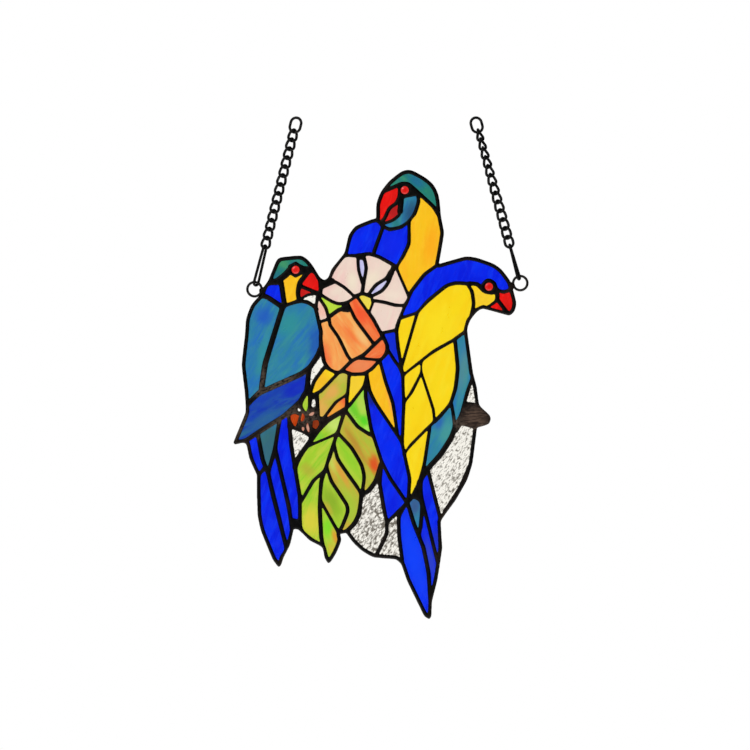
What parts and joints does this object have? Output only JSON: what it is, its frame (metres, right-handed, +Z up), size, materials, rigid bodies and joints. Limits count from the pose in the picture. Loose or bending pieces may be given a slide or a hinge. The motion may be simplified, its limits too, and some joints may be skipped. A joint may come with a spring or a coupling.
{
  "type": "hanging stained glass panel",
  "caption": "Shaped stained glass suncatcher with parrots, flowers and a leaf in coloured glass and black solder, hung by rings, long hooks and short chains",
  "frame": {"origin": "midway between the two hanging points, at the inside top of the end links of the chains", "axes": "+Z up, the panel in the XZ plane with its front towards -Y, X to the right as seen from the front"},
  "size_m": [0.2358, 0.0084, 0.4023],
  "materials": {
    "glass_cobalt": "deep blue cathedral sheet",
    "glass_teal": "streaky blue-green opalescent sheet",
    "glass_sea": "streaky green opalescent sheet",
    "glass_navy": "streaky dark blue opalescent sheet",
    "glass_yellow": "opalescent sheet",
    "glass_amber": "opalescent sheet with orange streaks",
    "glass_red": "cathedral sheet",
    "glass_petal": "pale pink opalescent sheet",
    "glass_lavender": "pale violet opalescent sheet",
    "glass_orange": "streaky opalescent sheet",
    "glass_coral": "streaky opalescent sheet",
    "glass_olive": "streaky opalescent sheet",
    "glass_leaf": "streaky opalescent sheet",
    "glass_lime": "streaky opalescent sheet",
    "glass_clear": "clear sheet with a pebbled face",
    "glass_amber_brown": "streaky amber-brown chips",
    "solder": "solder with black patina",
    "ring_wire": "wire with black patina",
    "chain_wire": "black lacquered wire"
  },
  "bodies": {
    "root": {"left_bird_cheek": "glass_amber", "left_bird_outer_wing": "glass_teal", "left_bird_inner_wing": "glass_teal", "left_bird_wing_band": "glass_navy", "left_bird_tail_wedge": "glass_teal", "left_bird_tail_outer": "glass_cobalt", "left_bird_tail_middle": "glass_cobalt", "left_bird_tail_inner": "glass_cobalt", "blossom_top_left": "glass_petal", "blossom_top_right": "glass_petal", "blossom_right": "glass_petal", "blossom_bottom": "glass_petal", "blossom_left": "glass_petal", "bell_middle": "glass_orange", "bell_right": "glass_coral", "bell_left": "glass_orange", "sepal_wide": "glass_olive", "sepal_right": "glass_amber", "bell_frond": "glass_lime", "leaf_left": "glass_leaf", "leaf_lower_left": "glass_leaf", "leaf_tip": "glass_leaf", "leaf_lower_middle": "glass_leaf", "leaf_middle": "glass_olive", "leaf_upper_middle": "glass_leaf", "leaf_right": "glass_olive", "top_bird_crown": "glass_sea", "top_bird_cheek": "glass_teal", "top_bird_back": "glass_amber", "top_bird_outer_wing": "glass_cobalt", "top_bird_inner_wing": "glass_cobalt", "top_bird_tail_right": "glass_cobalt", "top_bird_tail_middle": "glass_cobalt", "top_bird_tail_left": "glass_cobalt", "right_bird_hood": "glass_cobalt", "right_bird_face": "glass_yellow", "right_bird_wing": "glass_yellow", "right_bird_shoulder": "glass_yellow", "right_bird_flank": "glass_yellow", "right_bird_belly": "glass_yellow", "right_bird_rump": "glass_yellow", "right_bird_wing_tip": "glass_teal", "right_bird_thigh": "glass_teal", "right_bird_tail_long": "glass_cobalt", "right_bird_tail_middle": "glass_cobalt", "right_bird_tail_right": "glass_cobalt", "clear_lower_left": "glass_clear", "clear_lower_middle": "glass_clear", "clear_right": "glass_clear", "leadwork": "solder", "left_end_link": "chain_wire", "left_chain": "chain_wire", "left_hook": "chain_wire", "left_ring": "ring_wire", "right_end_link": "chain_wire", "right_chain": "chain_wire", "right_hook": "chain_wire", "right_ring": "ring_wire"}
  },
  "joints": []
}
